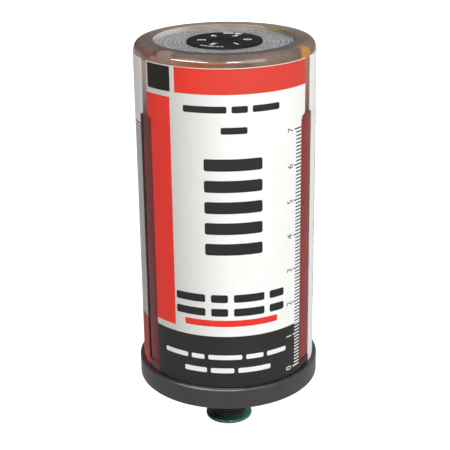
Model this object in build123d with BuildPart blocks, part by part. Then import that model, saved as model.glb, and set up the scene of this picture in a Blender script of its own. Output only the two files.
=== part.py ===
from build123d import *
import math
import os

# Gas-driven single-point grease lubricator, in millimetres.
# The origin is the centre of the outlet's shoulder, where the hexagon meets the nipple.
# +Z runs up the canister to the dial, and -Y faces the front of the label.

# Outlet nipple and its hexagon
thread_r = 5.14
nipple_length = 11.5
nipple_lead = 0.6
outlet_bore_r = 2.6
bore_mouth_chamfer = 0.4
hex_across_flats = 17.0
hex_height = 3.45

# Base cap
cap_lip_wall = 1.3
cap_height = 6.0
cap_plate = 2.0
cap_lip_round = 0.4
cap_foot_chamfer = 0.25
spigot_height = 4.3
floor_fall = 1.4
recess_hub_wall = 1.2
recess_depth = 3.2
recess_wall = 1.75
cap_rib_count = 12
cap_rib_width = 1.2
cap_rib_setback = 0.6

# Canister
canister_r = 24.8
canister_wall = 1.2
canister_top_wall = 1.45
top_ring_width = 5.7
top_round = 2.24
opening_round = 0.4

# Clearances
static_clearance = 0.1
sliding_clearance = 0.2
running_clearance = 0.06
seal_relief = 0.015

# Seals and their grooves
base_seal_groove_depth = 1.0
base_seal_groove_width = 1.4
piston_seal_groove_depth = 1.1
piston_seal_groove_width = 1.5
drive_seal_groove_depth = 0.9
drive_seal_groove_width = 1.4

# Piston and grease
stroke = 70.0
heel = 2.0
piston_web = 1.8
piston_rim_wall = 2.6
seal_land = 0.8
seal_spacing = 0.8
grease_gap = 0.2

# Bellows between the piston and the drive unit
drive_gap = 3.25
bellows_fold_depth = 6.0
bellows_skin = 2.2
bellows_folds = 6
bellows_end = 0.5
bellows_foot_gap = 0.05
bellows_flange = 0.4
clamp_ring_height = 1.2
clamp_rim_wall = 0.8
clamp_seat_width = 1.6
clamp_ring_clearance = 0.5

# Drive unit: floor, housing and what they hold
drive_floor_thickness = 1.8
floor_spigot_wall = 1.0
floor_spigot_height = 1.2
housing_wall = 1.8
housing_top = 2.2
housing_edge_chamfer = 0.3
cell_height = 3.2
cell_side_margin = 3.4
cell_edge_round = 0.4
cell_gap = 1.8
cell_centre_y = 2.0
cell_pad = 0.6
cell_pad_width = 2.0
cradle_wall = 0.7
cradle_height = 2.4
gas_cell_r = 5.8
gas_cell_gap = 1.0
gas_cell_headroom = 0.3
gas_seal_thickness = 0.6
gas_seal_pocket = 0.3
gas_seal_width = 1.6
gas_vent_r = 1.2
contact_gap = 0.8
contact_thickness = 0.3
contact_width = 4.6
contact_reach = 3.0
contact_foot = 1.6
board_thickness = 1.0
board_standoff = 1.65
screw_count = 3
screw_first_angle = 90.0
screw_r = 0.85
screw_head_r = 1.6
screw_head_height = 0.6
screw_boss_wall = 1.3
screw_boss_inset = 0.8
screw_tip_gap = 0.5
chip_size = 5.0
chip_height = 0.9
chip_gap = 3.0
switch_size = 9.0
switch_corner_r = 1.0
switch_headroom = 0.15

# Dial at the top
plate_thickness = 0.25
bezel_r = 10.4
bezel_proud = 0.6
bezel_edge = 0.2
bezel_hub_r = 6.4
bezel_hub_depth = 1.2
bezel_floor = 0.65
knob_r = 4.4
knob_proud = 0.1
knob_edge = 0.15
knob_slot_width = 1.2
knob_slot_depth = 0.7
stem_r = 1.5
stem_flat_depth = 0.4
stem_end_gap = 0.3

# Outlet plug
plug_head_r = 6.9
plug_head_thickness = 1.0
plug_head_round = 0.35
plug_stem_length = 7.0
plug_stem_taper = 0.5
plug_seat_gap = 0.05

# Label: three film panels with a window at each seam
label_thickness = 0.2
label_glue = 0.02
label_lift = 0.2
label_top_gap = 2.85
panel_count = 3
first_gap_angle = -29.0
window_half_angle = 6.8
slit_half_angle = 3.35
window_bottom = 2.45
window_head = 15.15
window_corner_round = 0.35
slit_mouth_round = 0.9
seam_width = 0.12

# Heights up the axis, worked out from the sizes above
flange_z = hex_height
canister_seat_z = flange_z + cap_plate
cap_lip_z = flange_z + cap_height
floor_rim_z = canister_seat_z + spigot_height
floor_centre_z = floor_rim_z - floor_fall
piston_face_z = floor_rim_z + heel + stroke
piston_height = 2 * (seal_land + piston_seal_groove_width) + seal_spacing
piston_top_z = piston_face_z + piston_height
piston_web_z = piston_face_z + piston_web
drive_floor_z = piston_top_z + drive_gap
drive_deck_z = drive_floor_z + drive_floor_thickness
cell_z = drive_deck_z + cell_pad
board_z = cell_z + cell_height + contact_gap
board_top_z = board_z + board_thickness
housing_ceiling_z = board_top_z + board_standoff
housing_top_z = housing_ceiling_z + housing_top
canister_top_z = housing_top_z + canister_top_wall
plate_top_z = housing_top_z + plate_thickness
bezel_top_z = plate_top_z + bezel_proud
bezel_foot_z = housing_top_z - bezel_hub_depth
knob_seat_z = bezel_foot_z + bezel_floor + running_clearance
knob_top_z = bezel_top_z + knob_proud
label_bottom_z = cap_lip_z + label_lift
label_top_z = canister_top_z - label_top_gap

# Radii worked out from the sizes above
bore_r = canister_r - canister_wall
cap_socket_r = canister_r + static_clearance
cap_r = cap_socket_r + cap_lip_wall
hex_corner_r = hex_across_flats / math.sqrt(3)
recess_inner_r = hex_corner_r + recess_hub_wall
spigot_r = bore_r - static_clearance
recess_outer_r = spigot_r - base_seal_groove_depth - recess_wall
piston_r = bore_r - sliding_clearance
drive_r = bore_r - sliding_clearance - static_clearance
housing_inner_r = drive_r - housing_wall
floor_spigot_r = housing_inner_r - static_clearance
floor_spigot_inner_r = floor_spigot_r - floor_spigot_wall
clamp_lip_r = drive_r - clamp_rim_wall
bellows_flange_r = clamp_lip_r - static_clearance
clamp_inner_r = bellows_flange_r - clamp_seat_width
bellows_outer_r = clamp_inner_r - clamp_ring_clearance
bellows_inner_r = bellows_outer_r - bellows_fold_depth - bellows_skin
top_opening_r = canister_r - top_ring_width
plate_r = top_opening_r - static_clearance
board_r = housing_inner_r - 2 * static_clearance
screw_circle_r = board_r - screw_boss_wall - screw_r - screw_boss_inset
cell_r = (floor_spigot_inner_r - cell_side_margin - cell_gap / 2) / 2
cell_x = cell_r + cell_gap / 2
cell_reach = cell_r + gas_cell_r + gas_cell_gap
gas_cell_y = cell_centre_y - math.sqrt(cell_reach**2 - cell_x**2)
chip_y = -switch_size / 2 - chip_gap - chip_size / 2
label_inner_r = canister_r + label_glue
label_r = canister_r + label_thickness

os.makedirs("parts", exist_ok=True)


def corner(sketch, x, y):
    """The vertex of a sketch nearest to a point of its own plane."""
    return sketch.vertices().sort_by_distance((x, y))[0]


def o_ring(groove_floor_r, wall_r, z, relief):
    """A round-section ring that fills the radial space between a groove's floor and a wall."""
    section_r = (wall_r - groove_floor_r) / 2 - relief
    with BuildPart() as ring:
        with BuildSketch(Plane.XZ):
            with Locations(((wall_r + groove_floor_r) / 2, z)):
                Circle(section_r)
        revolve(axis=Axis.Z)
    return ring


# Base cap: flange, canister socket, spigot, hexagon and nipple moulded in one
base_groove_z = canister_seat_z + spigot_height / 2
with BuildPart() as base_cap:
    with BuildSketch(Plane.XZ) as cap_section:
        with BuildLine():
            Polyline(
                (0, flange_z),
                (cap_r, flange_z),
                (cap_r, cap_lip_z),
                (cap_socket_r, cap_lip_z),
                (cap_socket_r, canister_seat_z),
                (spigot_r, canister_seat_z),
                (spigot_r, floor_rim_z),
                (outlet_bore_r, floor_centre_z),
                (0, floor_centre_z),
                close=True,
            )
        make_face()
        fillet(corner(cap_section, cap_r, cap_lip_z), cap_lip_round)
        chamfer(corner(cap_section, cap_r, flange_z), cap_foot_chamfer)
        with Locations((spigot_r, base_groove_z)):
            Rectangle(2 * base_seal_groove_depth, base_seal_groove_width, mode=Mode.SUBTRACT)
    revolve(axis=Axis.Z)
    with BuildSketch(Plane.XY.offset(flange_z)):
        Circle(recess_outer_r)
        Circle(recess_inner_r, mode=Mode.SUBTRACT)
    extrude(amount=recess_depth, mode=Mode.SUBTRACT)
    with BuildSketch(Plane.XY.offset(flange_z + cap_rib_setback)):
        with PolarLocations((recess_inner_r + recess_outer_r) / 2, cap_rib_count):
            Rectangle(recess_outer_r - recess_inner_r + cap_rib_width, cap_rib_width)
    extrude(amount=recess_depth - cap_rib_setback)
    with BuildSketch():
        RegularPolygon(hex_across_flats / 2, 6, major_radius=False)
    extrude(amount=flange_z)
    with BuildSketch(Plane.XZ) as nipple_section:
        with BuildLine():
            Polyline((0, 0), (thread_r, 0), (thread_r, -nipple_length), (0, -nipple_length), close=True)
        make_face()
        chamfer(corner(nipple_section, thread_r, -nipple_length), nipple_lead)
    revolve(axis=Axis.Z)
    with BuildSketch(Plane.XY.offset(-nipple_length)):
        Circle(outlet_bore_r)
    extrude(amount=nipple_length + floor_rim_z, mode=Mode.SUBTRACT)
    with BuildSketch(Plane.XY.offset(-nipple_length)):
        Circle(outlet_bore_r + bore_mouth_chamfer)
    extrude(amount=bore_mouth_chamfer, taper=45, mode=Mode.SUBTRACT)
base_cap.part.label = "base_cap"
export_step(base_cap.part, "parts/base_cap.step")

base_seal = o_ring(spigot_r - base_seal_groove_depth, bore_r, base_groove_z, seal_relief)
base_seal.part.label = "base_seal"
export_step(base_seal.part, "parts/base_seal.step")

# Outlet plug: a thin round head with a tapered stem up the outlet's bore
plug_top_z = -nipple_length - plug_seat_gap
plug_stem_r = outlet_bore_r - running_clearance
with BuildPart() as outlet_plug:
    with BuildSketch(Plane.XZ) as plug_section:
        with BuildLine():
            Polyline(
                (0, plug_top_z - plug_head_thickness),
                (plug_head_r, plug_top_z - plug_head_thickness),
                (plug_head_r, plug_top_z),
                (plug_stem_r, plug_top_z),
                (plug_stem_r, plug_top_z + plug_stem_length / 2),
                (plug_stem_r - plug_stem_taper, plug_top_z + plug_stem_length),
                (0, plug_top_z + plug_stem_length),
                close=True,
            )
        make_face()
        fillet(corner(plug_section, plug_head_r, plug_top_z), plug_head_round)
        fillet(corner(plug_section, plug_head_r, plug_top_z - plug_head_thickness), plug_head_round)
    revolve(axis=Axis.Z)
outlet_plug.part.label = "outlet_plug"
export_step(outlet_plug.part, "parts/outlet_plug.step")

# Canister: a clear shell, open below, with a rounded ring round its top opening
with BuildPart() as canister:
    with BuildSketch(Plane.XZ) as shell_section:
        with BuildLine():
            Polyline(
                (bore_r, canister_seat_z),
                (canister_r, canister_seat_z),
                (canister_r, canister_top_z),
                (top_opening_r, canister_top_z),
                (top_opening_r, housing_top_z),
                (bore_r, housing_top_z),
                close=True,
            )
        make_face()
        fillet(corner(shell_section, canister_r, canister_top_z), top_round)
        fillet(corner(shell_section, top_opening_r, canister_top_z), opening_round)
    revolve(axis=Axis.Z)
canister.part.label = "canister"
export_step(canister.part, "parts/canister.step")


def label_panel(left_gap, right_gap):
    """One film panel, from the gap on its left to the gap on its right, seen from outside."""
    window_half = label_r * math.sin(math.radians(window_half_angle))
    slit_half = label_r * math.sin(math.radians(slit_half_angle))
    low = label_bottom_z + window_bottom
    high = label_top_z - window_head
    under = label_bottom_z - seam_width
    over = label_top_z + seam_width
    beyond = label_r / 2
    seam_left = window_half + seam_width / 2
    seam_right = window_half - seam_width / 2
    rays = (left_gap, (left_gap + right_gap) / 2, right_gap, right_gap + 2 * window_half_angle)
    wedge = [(3 * label_r * math.cos(math.radians(a)), 3 * label_r * math.sin(math.radians(a))) for a in rays]
    left_outline = [
        (-beyond, under),
        (seam_left, under),
        (seam_left, low),
        (window_half, low),
        (window_half, high),
        (slit_half, high),
        (slit_half, over),
        (-beyond, over),
    ]
    right_outline = [
        (beyond, under),
        (seam_right, under),
        (seam_right, low),
        (-window_half, low),
        (-window_half, high),
        (-slit_half, high),
        (-slit_half, over),
        (beyond, over),
    ]
    with BuildPart() as panel:
        with BuildSketch(Plane.XY.offset(label_bottom_z)):
            Circle(label_r)
            Circle(label_inner_r, mode=Mode.SUBTRACT)
            Polygon((0, 0), *wedge, align=None, mode=Mode.INTERSECT)
        extrude(amount=label_top_z - label_bottom_z)
        for gap, outline, side in ((left_gap, left_outline, 1), (right_gap, right_outline, -1)):
            outward = (math.cos(math.radians(gap)), math.sin(math.radians(gap)), 0)
            along = (-math.sin(math.radians(gap)), math.cos(math.radians(gap)), 0)
            with BuildSketch(Plane((0, 0, 0), x_dir=along, z_dir=outward)) as opening:
                with BuildLine():
                    Polyline(*outline, close=True)
                make_face()
                fillet(corner(opening, side * window_half, high), window_corner_round)
                fillet(corner(opening, side * slit_half, high), slit_mouth_round)
            extrude(amount=2 * label_r, mode=Mode.SUBTRACT)
    return panel


panel_pitch = 360 / panel_count
label_right = label_panel(first_gap_angle, first_gap_angle + panel_pitch)
label_right.part.label = "label_right"
export_step(label_right.part, "parts/label_right.step")

label_left = label_panel(first_gap_angle + panel_pitch, first_gap_angle + 2 * panel_pitch)
label_left.part.label = "label_left"
export_step(label_left.part, "parts/label_left.step")

label_front = label_panel(first_gap_angle - panel_pitch, first_gap_angle)
label_front.part.label = "label_front"
export_step(label_front.part, "parts/label_front.step")

# Piston: a grooved rim round a web whose underside follows the base cap's floor
lower_groove_z = piston_face_z + seal_land + piston_seal_groove_width / 2
upper_groove_z = piston_top_z - seal_land - piston_seal_groove_width / 2
piston_pocket_r = piston_r - piston_rim_wall
with BuildPart() as piston:
    with BuildSketch(Plane.XZ):
        with BuildLine():
            Polyline(
                (0, piston_face_z - floor_fall),
                (outlet_bore_r, piston_face_z - floor_fall),
                (piston_r, piston_face_z),
                (piston_r, piston_top_z),
                (piston_pocket_r, piston_top_z),
                (piston_pocket_r, piston_web_z),
                (0, piston_web_z),
                close=True,
            )
        make_face()
        with Locations((piston_r, lower_groove_z), (piston_r, upper_groove_z)):
            Rectangle(2 * piston_seal_groove_depth, piston_seal_groove_width, mode=Mode.SUBTRACT)
    revolve(axis=Axis.Z)
piston.part.label = "piston"
export_step(piston.part, "parts/piston.step")

piston_groove_r = piston_r - piston_seal_groove_depth
piston_seal_lower = o_ring(piston_groove_r, bore_r - running_clearance, lower_groove_z, seal_relief)
piston_seal_lower.part.label = "piston_seal_lower"
export_step(piston_seal_lower.part, "parts/piston_seal_lower.step")

piston_seal_upper = o_ring(piston_groove_r, bore_r - running_clearance, upper_groove_z, seal_relief)
piston_seal_upper.part.label = "piston_seal_upper"
export_step(piston_seal_upper.part, "parts/piston_seal_upper.step")

# Grease: one soft plug from the base cap's floor to the piston's face
with BuildPart() as grease_charge:
    with BuildSketch(Plane.XZ):
        with BuildLine():
            Polyline(
                (0, floor_centre_z + grease_gap),
                (outlet_bore_r, floor_centre_z + grease_gap),
                (piston_r, floor_rim_z + grease_gap),
                (piston_r, piston_face_z - grease_gap),
                (outlet_bore_r, piston_face_z - floor_fall - grease_gap),
                (0, piston_face_z - floor_fall - grease_gap),
                close=True,
            )
        make_face()
    revolve(axis=Axis.Z)
grease_charge.part.label = "grease_charge"
export_step(grease_charge.part, "parts/grease_charge.step")

# Bellows: a bag with a zigzag wall, folded flat, closed below and flanged above
bellows_foot_z = piston_web_z + bellows_foot_gap
bellows_head_z = drive_floor_z - bellows_flange
fold_start_z = bellows_foot_z + bellows_end
fold_height = (bellows_head_z - fold_start_z) / (2 * bellows_folds)
bellows_valley_r = bellows_outer_r - bellows_fold_depth
fold_radii = [bellows_valley_r, bellows_outer_r] * bellows_folds + [bellows_valley_r]
outer_folds = [(r, fold_start_z + i * fold_height) for i, r in enumerate(fold_radii)]
inner_folds = [(r - bellows_skin, z) for r, z in reversed(outer_folds)]
with BuildPart() as gas_bellows:
    with BuildSketch(Plane.XZ):
        with BuildLine():
            Polyline(
                (0, bellows_foot_z),
                (bellows_valley_r, bellows_foot_z),
                *outer_folds,
                (bellows_flange_r, bellows_head_z),
                (bellows_flange_r, drive_floor_z),
                (bellows_inner_r, drive_floor_z),
                *inner_folds,
                (0, fold_start_z),
                close=True,
            )
        make_face()
    revolve(axis=Axis.Z)
gas_bellows.part.label = "gas_bellows"
export_step(gas_bellows.part, "parts/gas_bellows.step")

# Clamp ring: holds the bellows' flange up against the drive unit's floor
clamp_foot_z = bellows_head_z - clamp_ring_height
with BuildPart() as bellows_clamp_ring:
    with BuildSketch(Plane.XZ):
        with BuildLine():
            Polyline(
                (clamp_inner_r, clamp_foot_z),
                (drive_r, clamp_foot_z),
                (drive_r, drive_floor_z),
                (clamp_lip_r, drive_floor_z),
                (clamp_lip_r, bellows_head_z),
                (clamp_inner_r, bellows_head_z),
                close=True,
            )
        make_face()
    revolve(axis=Axis.Z)
bellows_clamp_ring.part.label = "bellows_clamp_ring"
export_step(bellows_clamp_ring.part, "parts/bellows_clamp_ring.step")

# Drive unit's floor: spigot ring, battery cradles, gas cell pocket and vent
cell_places = [(-cell_x, cell_centre_y), (cell_x, cell_centre_y)]
cradle_inner_r = cell_r + static_clearance
bridge_slot = contact_width + 2 * sliding_clearance
with BuildPart() as drive_floor:
    with BuildSketch(Plane.XY.offset(drive_floor_z)):
        Circle(drive_r)
    extrude(amount=drive_floor_thickness)
    with BuildSketch(Plane.XY.offset(drive_deck_z)):
        Circle(floor_spigot_r)
        Circle(floor_spigot_inner_r, mode=Mode.SUBTRACT)
    extrude(amount=floor_spigot_height)
    with BuildSketch(Plane.XY.offset(drive_deck_z)):
        with Locations(*cell_places):
            Circle(cradle_inner_r + cradle_wall)
    extrude(amount=cradle_height)
    with BuildSketch(Plane.XY.offset(drive_deck_z + cell_pad)):
        with Locations(*cell_places):
            Circle(cradle_inner_r)
    extrude(amount=cradle_height, mode=Mode.SUBTRACT)
    with BuildSketch(Plane.XY.offset(drive_deck_z)):
        with Locations(*cell_places):
            Circle(cradle_inner_r - cell_pad_width)
        with Locations((0, cell_centre_y)):
            Rectangle(2 * cell_x + contact_width, bridge_slot)
    extrude(amount=cradle_height, mode=Mode.SUBTRACT)
    with BuildSketch(Plane.XY.offset(drive_deck_z - gas_seal_pocket)):
        with Locations((0, gas_cell_y)):
            Circle(gas_cell_r + static_clearance)
    extrude(amount=cradle_height, mode=Mode.SUBTRACT)
    with BuildSketch(Plane.XY.offset(drive_floor_z)):
        with Locations((0, gas_cell_y)):
            Circle(gas_vent_r)
    extrude(amount=drive_floor_thickness, mode=Mode.SUBTRACT)
drive_floor.part.label = "drive_floor"
export_step(drive_floor.part, "parts/drive_floor.step")

# Gas cell on its seal, over the vent
gas_seal_z = drive_deck_z - gas_seal_pocket
gas_cell_z = gas_seal_z + gas_seal_thickness
with BuildPart() as gas_cell_seal:
    with BuildSketch(Plane.XY.offset(gas_seal_z)):
        with Locations((0, gas_cell_y)):
            Circle(gas_cell_r - static_clearance)
            Circle(gas_cell_r - static_clearance - gas_seal_width, mode=Mode.SUBTRACT)
    extrude(amount=gas_seal_thickness)
gas_cell_seal.part.label = "gas_cell_seal"
export_step(gas_cell_seal.part, "parts/gas_cell_seal.step")

with BuildPart() as gas_cell:
    with BuildSketch(Plane.XY.offset(gas_cell_z)):
        with Locations((0, gas_cell_y)):
            Circle(gas_cell_r)
    extrude(amount=board_z - gas_cell_headroom - gas_cell_z)
    fillet(gas_cell.faces().sort_by(Axis.Z)[-1].edges(), cell_edge_round)
gas_cell.part.label = "gas_cell"
export_step(gas_cell.part, "parts/gas_cell.step")


def coin_cell(place):
    """One battery: a round can with a softened upper edge."""
    with BuildPart() as cell:
        with BuildSketch(Plane.XY.offset(cell_z)):
            with Locations(place):
                Circle(cell_r)
        extrude(amount=cell_height)
        fillet(cell.faces().sort_by(Axis.Z)[-1].edges(), cell_edge_round)
    return cell


battery_left = coin_cell(cell_places[0])
battery_left.part.label = "battery_left"
export_step(battery_left.part, "parts/battery_left.step")

battery_right = coin_cell(cell_places[1])
battery_right.part.label = "battery_right"
export_step(battery_right.part, "parts/battery_right.step")

# Contact bridge under the two cells
with BuildPart() as contact_bridge:
    with BuildSketch(Plane.XY.offset(cell_z - contact_thickness)):
        with Locations((0, cell_centre_y)):
            SlotOverall(2 * cell_x + contact_width - 2 * static_clearance, contact_width)
    extrude(amount=contact_thickness)
contact_bridge.part.label = "contact_bridge"
export_step(contact_bridge.part, "parts/contact_bridge.step")

# Contact springs: bent strips from the board down to the top of each cell
spring_top_z = board_z
spring_foot_z = cell_z + cell_height
with BuildPart() as contact_springs:
    with BuildSketch(Plane.XZ.offset(-cell_centre_y)):
        for side in (-1, 1):
            foot_x = side * (cell_x + contact_reach)
            heel_x = side * cell_x
            with BuildLine():
                Polyline(
                    (foot_x, spring_foot_z),
                    (foot_x, spring_foot_z + contact_thickness),
                    (foot_x - side * contact_foot, spring_foot_z + contact_thickness),
                    (heel_x, spring_top_z),
                    (heel_x - side * contact_foot, spring_top_z),
                    (heel_x - side * contact_foot, spring_top_z - contact_thickness),
                    (heel_x, spring_top_z - contact_thickness),
                    (foot_x - side * contact_foot, spring_foot_z),
                    close=True,
                )
            make_face()
    extrude(amount=contact_width / 2, both=True)
contact_springs.part.label = "contact_springs"
export_step(contact_springs.part, "parts/contact_springs.step")

# Circuit board with its screw holes, hung from the housing
with BuildPart() as circuit_board:
    with BuildSketch(Plane.XY.offset(board_z)):
        Circle(board_r)
        with PolarLocations(screw_circle_r, screw_count, start_angle=screw_first_angle):
            Circle(screw_r + static_clearance, mode=Mode.SUBTRACT)
    extrude(amount=board_thickness)
circuit_board.part.label = "circuit_board"
export_step(circuit_board.part, "parts/circuit_board.step")

screw_tip_z = housing_top_z - screw_tip_gap
with BuildPart() as board_screws:
    with BuildSketch(Plane.XY.offset(board_z - screw_head_height)):
        with PolarLocations(screw_circle_r, screw_count, start_angle=screw_first_angle):
            Circle(screw_head_r)
    extrude(amount=screw_head_height)
    with BuildSketch(Plane.XY.offset(board_z)):
        with PolarLocations(screw_circle_r, screw_count, start_angle=screw_first_angle):
            Circle(screw_r)
    extrude(amount=screw_tip_z - board_z)
board_screws.part.label = "board_screws"
export_step(board_screws.part, "parts/board_screws.step")

with BuildPart() as control_chip:
    with BuildSketch(Plane.XY.offset(board_top_z)):
        with Locations((0, chip_y)):
            Rectangle(chip_size, chip_size)
    extrude(amount=chip_height)
control_chip.part.label = "control_chip"
export_step(control_chip.part, "parts/control_chip.step")

# Rotary switch on the board, turned by the knob's stem
stem_bore_r = stem_r + running_clearance
with BuildPart() as rotary_switch:
    with BuildSketch(Plane.XY.offset(board_top_z)):
        RectangleRounded(switch_size, switch_size, switch_corner_r)
        Circle(stem_bore_r, mode=Mode.SUBTRACT)
    extrude(amount=board_standoff - switch_headroom)
rotary_switch.part.label = "rotary_switch"
export_step(rotary_switch.part, "parts/rotary_switch.step")

# Housing: an upturned cup with a groove for its seal and bosses for the board
drive_groove_z = (drive_deck_z + housing_top_z) / 2
with BuildPart() as drive_housing:
    with BuildSketch(Plane.XZ) as housing_section:
        with BuildLine():
            Polyline(
                (housing_inner_r, drive_deck_z),
                (drive_r, drive_deck_z),
                (drive_r, housing_top_z),
                (bezel_hub_r + static_clearance, housing_top_z),
                (bezel_hub_r + static_clearance, bezel_foot_z),
                (stem_bore_r, bezel_foot_z),
                (stem_bore_r, housing_ceiling_z),
                (housing_inner_r, housing_ceiling_z),
                close=True,
            )
        make_face()
        chamfer(corner(housing_section, drive_r, housing_top_z), housing_edge_chamfer)
        with Locations((drive_r, drive_groove_z)):
            Rectangle(2 * drive_seal_groove_depth, drive_seal_groove_width, mode=Mode.SUBTRACT)
    revolve(axis=Axis.Z)
    with BuildSketch(Plane.XY.offset(board_top_z)):
        with PolarLocations(screw_circle_r, screw_count, start_angle=screw_first_angle):
            Circle(screw_r + screw_boss_wall)
    extrude(amount=board_standoff)
    with BuildSketch(Plane.XY.offset(board_top_z)):
        with PolarLocations(screw_circle_r, screw_count, start_angle=screw_first_angle):
            Circle(screw_r + running_clearance)
    extrude(amount=screw_tip_z + static_clearance - board_top_z, mode=Mode.SUBTRACT)
drive_housing.part.label = "drive_housing"
export_step(drive_housing.part, "parts/drive_housing.step")

drive_seal = o_ring(drive_r - drive_seal_groove_depth, bore_r, drive_groove_z, seal_relief)
drive_seal.part.label = "drive_seal"
export_step(drive_seal.part, "parts/drive_seal.step")

# Printed disc in the top opening
with BuildPart() as top_plate:
    with BuildSketch(Plane.XY.offset(housing_top_z)):
        Circle(plate_r)
        Circle(bezel_hub_r + static_clearance, mode=Mode.SUBTRACT)
    extrude(amount=plate_thickness)
top_plate.part.label = "top_plate"
export_step(top_plate.part, "parts/top_plate.step")

# Dial: a thin disc over the plate, with a hub that holds the knob
knob_well_r = knob_r + running_clearance
with BuildPart() as dial_bezel:
    with BuildSketch(Plane.XZ) as bezel_section:
        with BuildLine():
            Polyline(
                (stem_bore_r, bezel_foot_z),
                (bezel_hub_r, bezel_foot_z),
                (bezel_hub_r, plate_top_z),
                (bezel_r, plate_top_z),
                (bezel_r, bezel_top_z),
                (knob_well_r, bezel_top_z),
                (knob_well_r, bezel_foot_z + bezel_floor),
                (stem_bore_r, bezel_foot_z + bezel_floor),
                close=True,
            )
        make_face()
        fillet(corner(bezel_section, bezel_r, bezel_top_z), bezel_edge)
    revolve(axis=Axis.Z)
dial_bezel.part.label = "dial_bezel"
export_step(dial_bezel.part, "parts/dial_bezel.step")

# Selector knob: a slotted head on a flatted stem that reaches the switch
stem_foot_z = board_top_z + stem_end_gap
with BuildPart() as selector_knob:
    with BuildSketch(Plane.XZ) as knob_section:
        with BuildLine():
            Polyline(
                (0, stem_foot_z),
                (stem_r, stem_foot_z),
                (stem_r, knob_seat_z),
                (knob_r, knob_seat_z),
                (knob_r, knob_top_z),
                (0, knob_top_z),
                close=True,
            )
        make_face()
        fillet(corner(knob_section, knob_r, knob_top_z), knob_edge)
    revolve(axis=Axis.Z)
    with BuildSketch(Plane.XY.offset(knob_top_z - knob_slot_depth)):
        SlotOverall(2 * knob_r - knob_slot_width, knob_slot_width)
    extrude(amount=knob_slot_depth, mode=Mode.SUBTRACT)
    with BuildSketch(Plane.XY.offset(stem_foot_z)):
        with Locations((0, stem_r)):
            Rectangle(2 * stem_r, 2 * stem_flat_depth)
    extrude(amount=bezel_foot_z - stem_foot_z, mode=Mode.SUBTRACT)
selector_knob.part.label = "selector_knob"
export_step(selector_knob.part, "parts/selector_knob.step")
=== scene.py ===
import math
import random

import bmesh
import bpy
from mathutils import Matrix, Vector


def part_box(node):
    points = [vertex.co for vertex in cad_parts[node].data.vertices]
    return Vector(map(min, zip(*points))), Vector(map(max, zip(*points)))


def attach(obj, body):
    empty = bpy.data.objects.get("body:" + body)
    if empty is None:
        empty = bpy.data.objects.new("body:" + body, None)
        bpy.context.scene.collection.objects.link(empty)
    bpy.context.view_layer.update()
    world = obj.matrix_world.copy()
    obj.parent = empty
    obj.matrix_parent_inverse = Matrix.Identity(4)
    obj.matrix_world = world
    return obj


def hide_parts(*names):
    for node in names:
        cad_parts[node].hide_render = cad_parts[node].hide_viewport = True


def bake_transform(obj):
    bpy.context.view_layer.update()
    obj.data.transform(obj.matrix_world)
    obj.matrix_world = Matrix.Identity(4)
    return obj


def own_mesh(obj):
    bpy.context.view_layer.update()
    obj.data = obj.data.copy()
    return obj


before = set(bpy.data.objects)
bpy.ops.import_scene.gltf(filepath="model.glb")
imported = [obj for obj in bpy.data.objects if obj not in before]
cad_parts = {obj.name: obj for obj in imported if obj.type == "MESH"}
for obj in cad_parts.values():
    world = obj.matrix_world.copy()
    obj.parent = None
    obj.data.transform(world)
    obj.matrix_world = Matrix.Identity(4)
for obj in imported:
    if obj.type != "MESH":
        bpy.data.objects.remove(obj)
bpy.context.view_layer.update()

MM = 0.001

# Boxes of the source's nodes, in metres
canister_low, canister_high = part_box("canister")
label_low, label_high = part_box("label_right")
grease_low, grease_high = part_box("grease_charge")
bellows_low, bellows_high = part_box("gas_bellows")
plug_low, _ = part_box("outlet_plug")
_, piston_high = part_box("piston")
_, cap_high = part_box("base_cap")
_, plate_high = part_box("top_plate")
_, bezel_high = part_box("dial_bezel")
_, housing_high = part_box("drive_housing")

# Sizes that the boxes give, in millimetres
CANISTER_R = canister_high.x / MM
CANISTER_FOOT = canister_low.z / MM
CANISTER_TOP = canister_high.z / MM
HOUSING_TOP = housing_high.z / MM
LABEL_BOTTOM = label_low.z / MM
LABEL_TOP = label_high.z / MM
PLATE_TOP = plate_high.z / MM
BEZEL_TOP = bezel_high.z / MM

# Sizes of the construction that the boxes don't give, in millimetres and degrees
CANISTER_WALL = 1.2
BORE_R = CANISTER_R - CANISTER_WALL
FIT = 0.1
OPENING_R = 19.1
TOP_ROUND = 2.24
OPENING_ROUND = 0.4
INNER_ROUND = 0.3
RIM_FOOT = LABEL_TOP - 0.3
HAZE_FOOT = 85.3
LABEL_THICKNESS = 0.2
LABEL_R = CANISTER_R + LABEL_THICKNESS
GAP_ANGLES = (61.0, 181.0, 301.0)
WINDOW_HALF = 6.8
SLIT_HALF = 3.35
WINDOW_LOW = LABEL_BOTTOM + 2.45
WINDOW_HIGH = LABEL_TOP - 15.15
SEAM = 0.12

# Patches of colour on the moulded rim: place in millimetres, size and colour
RIM_PATCHES = (
    ((21.2, -12.2, 100.6), 3.2, (0.60, 0.29, 0.045)),
    ((15.6, 15.6, 103.0), 5.0, (0.34, 0.26, 0.13)),
    ((-19.8, -13.0, 102.2), 2.6, (0.27, 0.145, 0.120)),
    ((6.0, 22.5, 102.6), 3.6, (0.36, 0.23, 0.10)),
    ((-15.6, -18.4, 102.4), 2.9, (0.36, 0.26, 0.215)),
    ((24.2, -2.0, 101.4), 3.0, (0.32, 0.13, 0.05)),
)

# The painted highlight on the cap's lip: place and size in millimetres
HIGHLIGHT_PLACE = (-5.0, -25.5, 9.3)
HIGHLIGHT_SIZE = 9.0

# Shader values that several looks share: sizes of grain and mottle in millimetres
GRAIN = 0.6
MOTTLE = 14.0
FILM_SPECULAR = 0.22
COAT_ROUGHNESS = 0.12

# The label's printed scale: its zero stands this high above the outlet's shoulder
SCALE_ZERO = 12.0
SCALE_LENGTH = 70

# Ink: its thickness, how far it stands off, and a figure's height as a share of its font's size
INK = 0.012
INK_LIFT = 0.001
FIGURE_SHARE = 0.72


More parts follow.
